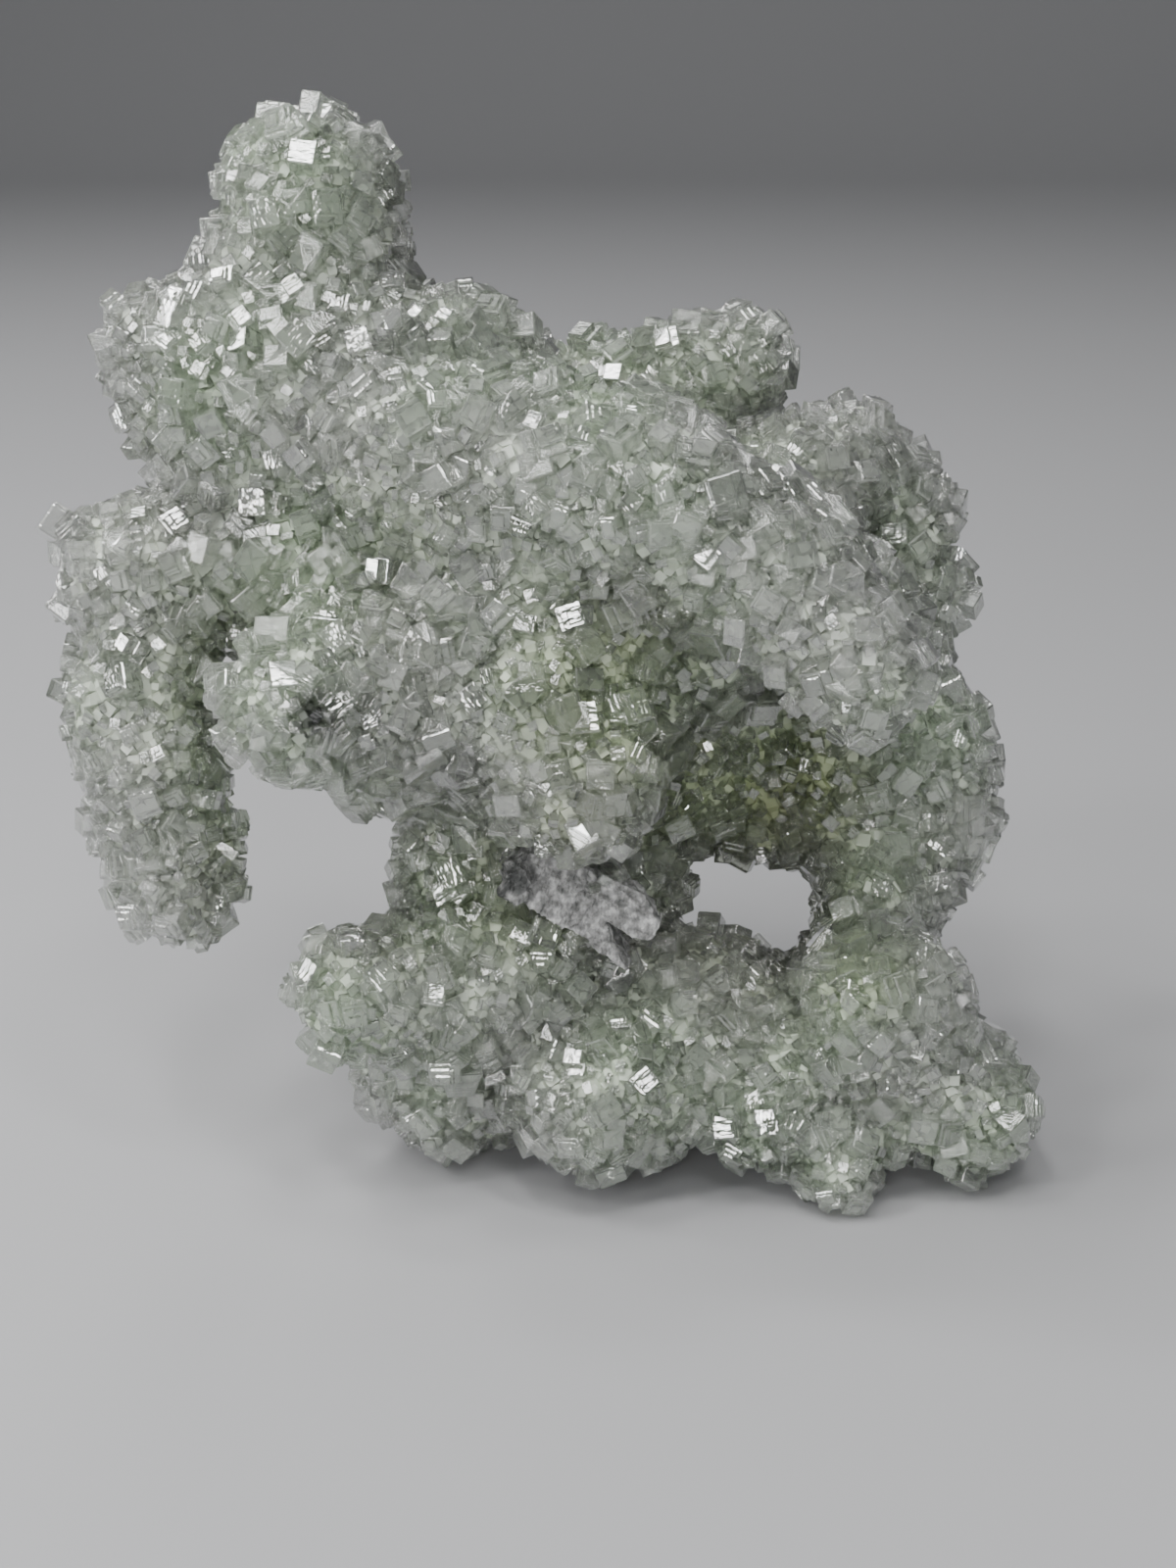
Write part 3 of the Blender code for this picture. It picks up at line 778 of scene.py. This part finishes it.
# Grey flake: a wedge and a lined plate that stick out of the stem, with a few clear crystals on top
flake = {
    "lean": 12.0,         # degrees, their faces lean back by this
    "voxel": 0.2,         # mm
    "back": 1.0,          # mm, where the plates end inside the stem
    "plates": [
        # front, further turn in degrees, outline (x, z)
        (-6.6, 0.0, [(-3.6, 27.8), (-3.0, 29.6), (-1.6, 30.6), (1.2, 30.5), (3.2, 29.7), (4.3, 28.4), (4.7, 25.6),
                     (5.3, 23.2), (6.9, 20.7), (5.4, 21.7), (3.4, 23.2), (1.6, 24.3), (-0.6, 25.6), (-2.4, 26.6)]),
        (-7.7, 4.0, [(4.1, 27.0), (4.6, 28.2), (5.6, 28.6), (7.0, 28.2), (7.9, 27.6), (9.3, 25.4), (8.7, 24.0),
                     (7.1, 24.1), (5.4, 25.0), (4.3, 25.7)]),
        (-7.2, -5.0, [(-3.9, 27.6), (-3.1, 29.2), (-1.8, 29.9), (-1.0, 28.4), (-1.4, 27.0), (-2.6, 26.6)]),
    ],
    "plateDepth": (7.6, 2.4, 3.0),  # mm, how far each plate reaches back
    "relief": 0.42,       # mm
    "lineSlope": -24.0,   # degrees, the fall of the lines on the lined plate
    "lineRelief": 0.16,   # mm
    "darkEnd": (-2.4, 28.6, 1.7),   # x, z and radius of the dark patch at the left end
    "darkTip": (-3.6, 27.4, 0.8),
    "crystalsFrom": (3.3, 28.0),    # x and z from where clear crystals stand on it
}


def flakePlate(front, turnAngle, outline, depth):
    # a straight slab behind the outline, leaning back about its middle
    middle = Vector((sum(x for x, _ in outline) / len(outline), front, sum(z for _, z in outline) / len(outline)))
    turn = (Matrix.Translation(middle) @ Matrix.Rotation(math.radians(turnAngle), 4, "Y")
            @ Matrix.Rotation(math.radians(-flake["lean"]), 4, "X") @ Matrix.Translation(-middle))
    bm = bmesh.new()
    face = bm.faces.new([bm.verts.new(turn @ Vector((x, front, z))) for x, z in outline])
    back = bmesh.ops.extrude_face_region(bm, geom=[face])
    for item in back["geom"]:
        if isinstance(item, bmesh.types.BMVert):
            item.co.y += depth
    bmesh.ops.recalc_face_normals(bm, faces=bm.faces)
    bmesh.ops.transform(bm, matrix=Matrix.Scale(mm, 4) @ Matrix.Translation(-Vector(baseCentre)), verts=bm.verts)
    return bm


def flakeRelief(spot):
    # spot in mm of the layout: broken steps on the wedge, fine sloping lines on the lined plate
    lined = spot.y < -7.0 and spot.x > 3.9
    if lined:
        angle = math.radians(flake["lineSlope"])
        along = spot.x * math.cos(angle) + spot.z * math.sin(angle)
        across = -spot.x * math.sin(angle) + spot.z * math.cos(angle)
        return noise.noise(Vector((along * 0.5, across * 3.2, 4.0))) * 2 * flake["lineRelief"]
    broad = noise.noise(spot * 0.55) + 0.5 * noise.noise(spot * 1.7)
    steps = math.floor(broad * 4) / 4
    return (steps + 0.25 * noise.noise(spot * 4.0)) * flake["relief"]


def makeFlake():
    joined = bpy.data.meshes.new("plates")
    bm = bmesh.new()
    for (front, turnAngle, outline), depth in zip(flake["plates"], flake["plateDepth"]):
        part = bpy.data.meshes.new("plate")
        plate = flakePlate(front, turnAngle, outline, depth)
        plate.to_mesh(part)
        plate.free()
        bm.from_mesh(part)
        bpy.data.meshes.remove(part)
    bm.to_mesh(joined)
    bm.free()
    mesh = remeshed(joined, flake["voxel"])
    dark = np.zeros(len(mesh.vertices))
    places = []
    for index, vert in enumerate(mesh.vertices):
        spot = vert.co / mm + Vector(baseCentre)
        places.append(vert.co + vert.normal * flakeRelief(spot) * mm)
        for x, z, radius in (flake["darkEnd"], flake["darkTip"]):
            away = math.hypot(spot.x - x, spot.z - z) / radius
            patchy = 1.5 - 1.2 * away + 0.7 * noise.noise(spot * 1.4)
            dark[index] = max(dark[index], min(max(patchy, 0.0), 1.0))
    for vert, place in zip(mesh.vertices, places):
        vert.co = place
    storeAttribute(mesh, "dark", "FLOAT", "POINT", dark)
    # openness that the painted shade of the crystals on the flake reads
    storeAttribute(mesh, "open", "FLOAT", "POINT", np.full(len(mesh.vertices), 0.9))
    mesh.update()
    return mesh


def markFlakeTop(mesh):
    # the faces that carry the few clear crystals
    _, centres, normals = faceArrays(mesh)
    centres = centres / mm + np.array(baseCentre)
    fromX, fromZ = flake["crystalsFrom"]
    top = (centres[:, 0] > fromX) & (centres[:, 2] > fromZ) & (normals[:, 2] > 0.2) & (centres[:, 1] > -7.6)
    storeAttribute(mesh, "finger", "INT", "FACE", top.astype(np.int32))


# Finishes
finish = {
    # painted shade: the first two colours are the crystals' unshaded and shaded colours, the next two the body's;
    # the shaded ones, darker and greener, are painted into recesses and shaded spots by the openness
    "tip": (0.99, 1.0, 0.975),
    "shade": (0.80, 0.84, 0.70),
    "bodyOpen": (0.60, 0.635, 0.56),
    "bodyShade": (0.37, 0.41, 0.22),
    "darkSpot": (0.035, 0.04, 0.035),
    "greenPatches": [(0.40, (1.0, 1.0, 1.0)), (0.70, (0.91, 0.98, 0.88))],
    "patchScale": 75.0,   # per m
    "flakeTones": [(0.30, (0.10, 0.105, 0.10)), (0.44, (0.20, 0.20, 0.195)), (0.55, (0.33, 0.33, 0.325)),
                   (0.72, (0.62, 0.62, 0.61))],
    "flakeDark": (0.05, 0.052, 0.05),
    "flakeScale": 1300.0,  # per m
    "flakeRough": 3200.0,
    "flakeLines": (450.0, 450.0, 3600.0),
    "flakeBump": 0.09,    # mm
    "clearness": [(0.06, (0.62, 0.63, 0.61)), (0.19, (0.95, 0.95, 0.95)), (0.5, (1.0, 1.0, 1.0))],
    "frost": [(0.0, (0.04, 0.04, 0.04)), (0.5, (0.11, 0.11, 0.11)), (0.75, (0.05, 0.05, 0.05)),
              (1.0, (0.14, 0.14, 0.14))],
    "lineHeight": 0.05,   # mm, of the fine growth lines on the crystals' faces
    "lineScale": (1.6, 5.0, 4.0),  # lines across a crystal's width, depth and height
}


def rgba(colour):
    return (*colour, 1.0)


def newMaterial(name):
    material = bpy.data.materials.new(name)
    material.use_nodes = True
    return material, material.node_tree, material.node_tree.nodes["Principled BSDF"]


def attributeNode(tree, name):
    return addNode(tree, "ShaderNodeAttribute", attribute_name=name)


def mixColour(tree, factor, first, second):
    node = addNode(tree, "ShaderNodeMix", data_type="RGBA")
    if isinstance(factor, float):
        node.inputs[0].default_value = factor
    else:
        tree.links.new(factor, node.inputs[0])
    for socket, value in ((node.inputs[6], first), (node.inputs[7], second)):
        if isinstance(value, tuple):
            socket.default_value = rgba(value)
        else:
            tree.links.new(value, socket)
    return node.outputs[2]


def multiplied(tree, first, second):
    node = addNode(tree, "ShaderNodeMix", data_type="RGBA", blend_type="MULTIPLY")
    node.inputs[0].default_value = 1.0
    tree.links.new(first, node.inputs[6])
    tree.links.new(second, node.inputs[7])
    return node.outputs[2]


def noiseNode(tree, scale, detail):
    where = addNode(tree, "ShaderNodeTexCoord")
    node = addNode(tree, "ShaderNodeTexNoise")
    node.inputs["Scale"].default_value = scale
    node.inputs["Detail"].default_value = detail
    tree.links.new(where.outputs["Object"], node.inputs["Vector"])
    return node.outputs[0]


def prehniteColour(tree, shaded, open):
    # painted shade: darker and greener where the openness is low, in recesses and shaded spots; greener also in
    # broad patches, and nearly black in the dark spots
    colour = mixColour(tree, attributeNode(tree, "open").outputs["Fac"], shaded, open)
    patches = ramp(tree, noiseNode(tree, finish["patchScale"], 1.0), finish["greenPatches"])
    colour = multiplied(tree, colour, patches)
    return mixColour(tree, attributeNode(tree, "dark").outputs["Fac"], colour, finish["darkSpot"])


def flakeMaterial():
    material, tree, shader = newMaterial("mottled_grey_stone")
    tones = ramp(tree, noiseNode(tree, finish["flakeScale"], 5.0), finish["flakeTones"])
    colour = mixColour(tree, attributeNode(tree, "dark").outputs["Fac"], tones, finish["flakeDark"])
    tree.links.new(colour, shader.inputs["Base Color"])
    shader.inputs["Roughness"].default_value = 0.45
    where = addNode(tree, "ShaderNodeTexCoord")
    sloped = addNode(tree, "ShaderNodeMapping", vector_type="TEXTURE")
    sloped.inputs["Rotation"].default_value = (0.0, math.radians(-flake["lineSlope"]), 0.0)
    sloped.inputs["Scale"].default_value = tuple(1.0 / part for part in finish["flakeLines"])
    lines = addNode(tree, "ShaderNodeTexNoise")
    lines.inputs["Scale"].default_value = 1.0
    lines.inputs["Detail"].default_value = 3.0
    tree.links.new(where.outputs["Object"], sloped.inputs["Vector"])
    tree.links.new(sloped.outputs["Vector"], lines.inputs["Vector"])
    height = scalarMath(tree, "ADD", lines.outputs[0], noiseNode(tree, finish["flakeRough"], 4.0))
    relief = addNode(tree, "ShaderNodeBump")
    relief.inputs["Distance"].default_value = finish["flakeBump"] * mm
    tree.links.new(height, relief.inputs["Height"])
    tree.links.new(relief.outputs[0], shader.inputs["Normal"])
    return material


def bodyMaterial():
    material, tree, shader = newMaterial("milky_prehnite")
    link = tree.links.new
    # painted shade: the body turns darker and greener where the openness is low
    link(prehniteColour(tree, finish["bodyShade"], finish["bodyOpen"]), shader.inputs["Base Color"])
    shader.inputs["Roughness"].default_value = 0.28
    shader.inputs["IOR"].default_value = 1.5
    return material


def ramp(tree, factor, stops):
    node = addNode(tree, "ShaderNodeValToRGB")
    tree.links.new(factor, node.inputs[0])
    elements = node.color_ramp.elements
    while len(elements) < len(stops):
        elements.new(0.5)
    for element, (position, colour) in zip(elements, stops):
        element.position = position
        element.color = rgba(colour)
    return node.outputs[0]


def crystalMaterial():
    material, tree, shader = newMaterial("glassy_prehnite")
    link = tree.links.new
    chance = attributeNode(tree, "chance").outputs["Fac"]
    # painted shade: the crystals turn darker and greener where the openness is low
    shade = prehniteColour(tree, finish["shade"], finish["tip"])
    link(multiplied(tree, shade, ramp(tree, chance, finish["clearness"])), shader.inputs["Base Color"])
    link(ramp(tree, chance, finish["frost"]), shader.inputs["Roughness"])
    shader.inputs["IOR"].default_value = 1.62
    shader.inputs["Transmission Weight"].default_value = 0.9
    shader.inputs["Coat Weight"].default_value = 1.0
    shader.inputs["Coat IOR"].default_value = 2.25
    shader.inputs["Coat Roughness"].default_value = 0.06
    stretch = addNode(tree, "ShaderNodeVectorMath", operation="MULTIPLY")
    stretch.inputs[1].default_value = finish["lineScale"]
    link(attributeNode(tree, "local").outputs["Vector"], stretch.inputs[0])
    lines = addNode(tree, "ShaderNodeTexNoise", noise_dimensions="4D")
    lines.inputs["Scale"].default_value = 1.0
    lines.inputs["Detail"].default_value = 2.0
    link(stretch.outputs[0], lines.inputs["Vector"])
    link(scalarMath(tree, "MULTIPLY", chance, 40.0), lines.inputs["W"])
    relief = addNode(tree, "ShaderNodeBump")
    relief.inputs["Strength"].default_value = 1.0
    relief.inputs["Distance"].default_value = finish["lineHeight"] * mm
    link(lines.outputs[0], relief.inputs["Height"])
    link(relief.outputs[0], shader.inputs["Normal"])
    link(relief.outputs[0], shader.inputs["Coat Normal"])
    return material


# Stage and light: a pale floor that curves up into a backdrop, and soft lights over it
studio = {
    "floor": (0.44, 0.44, 0.45),
    "floorHalfWidth": 2.5,     # m
    "floorFront": -3.0,        # m
    "backdrop": 0.75,          # m, where the floor starts to curve up
    "curve": 0.45,             # m, radius of that curve
    "backdropTop": 1.6,        # m
    "skyBands": [(0.46, 0.11), (0.56, 0.11), (0.80, 0.13), (1.0, 0.17)],  # height in the sky, brightness
    "skyTint": (0.97, 1.0, 1.02),
    "aim": (0.0, 0.0, 0.045),
    "lights": [
        # name, place in m, size in m, power in W
        ("softLeft", (-0.36, -0.10, 0.46), 0.60, 0.48),
        ("softOver", (-0.12, 0.12, 0.62), 0.60, 0.55),
        ("rim", (-0.10, 0.42, 0.40), 0.20, 0.35),
    ],
    "glints": {"count": 15, "distance": 0.55, "from": -115, "to": 25, "elevations": (58, 24, 42, 10, 66),
               "size": 0.08, "power": 0.40},
}


def makeFloor():
    profile = [(studio["floorFront"], 0.0), (studio["backdrop"], 0.0)]
    steps = 24
    for i in range(1, steps + 1):
        angle = math.pi / 2 * i / steps
        profile.append((studio["backdrop"] + math.sin(angle) * studio["curve"],
                        studio["curve"] * (1 - math.cos(angle))))
    profile.append((profile[-1][0], studio["backdropTop"]))
    bm = bmesh.new()
    rows = [[bm.verts.new((side * studio["floorHalfWidth"], y, z)) for side in (-1, 1)] for y, z in profile]
    for near, far in zip(rows[:-1], rows[1:]):
        bm.faces.new((near[0], near[1], far[1], far[0]))
    mesh = bpy.data.meshes.new("floor")
    bm.to_mesh(mesh)
    bm.free()
    mesh.shade_smooth()
    material, _, shader = newMaterial("pale_floor")
    shader.inputs["Base Color"].default_value = rgba(studio["floor"])
    shader.inputs["Roughness"].default_value = 0.6
    mesh.materials.append(material)
    newObject("floor", mesh)


def makeSky():
    world = bpy.data.worlds.new("studio")
    world.use_nodes = True
    tree = world.node_tree
    background = tree.nodes["Background"]
    where = addNode(tree, "ShaderNodeTexCoord")
    split = addNode(tree, "ShaderNodeSeparateXYZ")
    height = addNode(tree, "ShaderNodeMapRange")
    height.inputs["From Min"].default_value = -1.0
    bands = addNode(tree, "ShaderNodeValToRGB")
    tree.links.new(where.outputs["Generated"], split.inputs[0])
    tree.links.new(split.outputs[2], height.inputs["Value"])
    tree.links.new(height.outputs[0], bands.inputs[0])
    stops = bands.color_ramp.elements
    while len(stops) < len(studio["skyBands"]):
        stops.new(0.5)
    for stop, (position, brightness) in zip(stops, studio["skyBands"]):
        stop.position = position
        stop.color = rgba(tuple(brightness * part for part in studio["skyTint"]))
    tree.links.new(bands.outputs[0], background.inputs["Color"])
    bpy.context.scene.world = world


def glintPlaces():
    # small lamps spread over the front, which the crystals' faces mirror
    plan = studio["glints"]
    places = []
    for i in range(plan["count"]):
        turn = math.radians(plan["from"] + (plan["to"] - plan["from"]) * i / (plan["count"] - 1))
        rise = math.radians(plan["elevations"][i % len(plan["elevations"])])
        way = Vector((math.sin(turn) * math.cos(rise), -math.cos(turn) * math.cos(rise), math.sin(rise)))
        places.append(Vector(studio["aim"]) + way * plan["distance"])
    return places


def makeLights():
    aim = Vector(studio["aim"])
    plan = studio["glints"]
    lamps = studio["lights"] + [(f"glint{i}", place, plan["size"], plan["power"])
                                for i, place in enumerate(glintPlaces())]
    for name, place, size, power in lamps:
        data = bpy.data.lights.new(name, "AREA")
        data.shape = "DISK"
        data.size = size
        data.energy = power
        light = bpy.data.objects.new(name, data)
        light.location = place
        light.rotation_euler = (aim - Vector(place)).to_track_quat("-Z", "Y").to_euler()
        bpy.context.scene.collection.objects.link(light)


makeCamera()
makeFloor()
makeSky()
makeLights()
print("stage done")

ground = makeGround()
bodyObj = makeBody(ground)
bodyObj.data.materials.clear()
bodyObj.data.materials.append(bodyMaterial())
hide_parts(*fingerNames)
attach(bodyObj, "root")
print("body done")

shapes, plainCount = makeShapes()
tree = crustTree(plainCount, len(shapes.objects))
glass = crystalMaterial()
total = 0
for number, finger in enumerate(fingerNames):
    mesh = crustOf(ground, tree, shapes, number, glass)
    mesh.calc_loop_triangles()
    total += len(mesh.loop_triangles)
    piece = newObject(finger + "_crystals", mesh)
    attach(piece, "root")
    print(piece.name, len(mesh.loop_triangles), "triangles")
print("crust done:", total, "triangles")

for piece in makeLargeCrystals(ground, glass):
    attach(piece, "root")
print("large crystals done")

flakeMesh = makeFlake()
markFlakeTop(flakeMesh)
flakeCrystals = newObject("grey_flake_crystals", crustOf(flakeMesh, tree, shapes, 1, glass, Sink=0.3))
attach(flakeCrystals, "root")
flakeMesh.materials.clear()
flakeMesh.materials.append(flakeMaterial())
flakeObj = newObject("grey_flake_stone", flakeMesh)
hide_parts("grey_flake")
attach(flakeObj, "root")
print("flake done:", len(flakeMesh.polygons) * 2, "triangles")
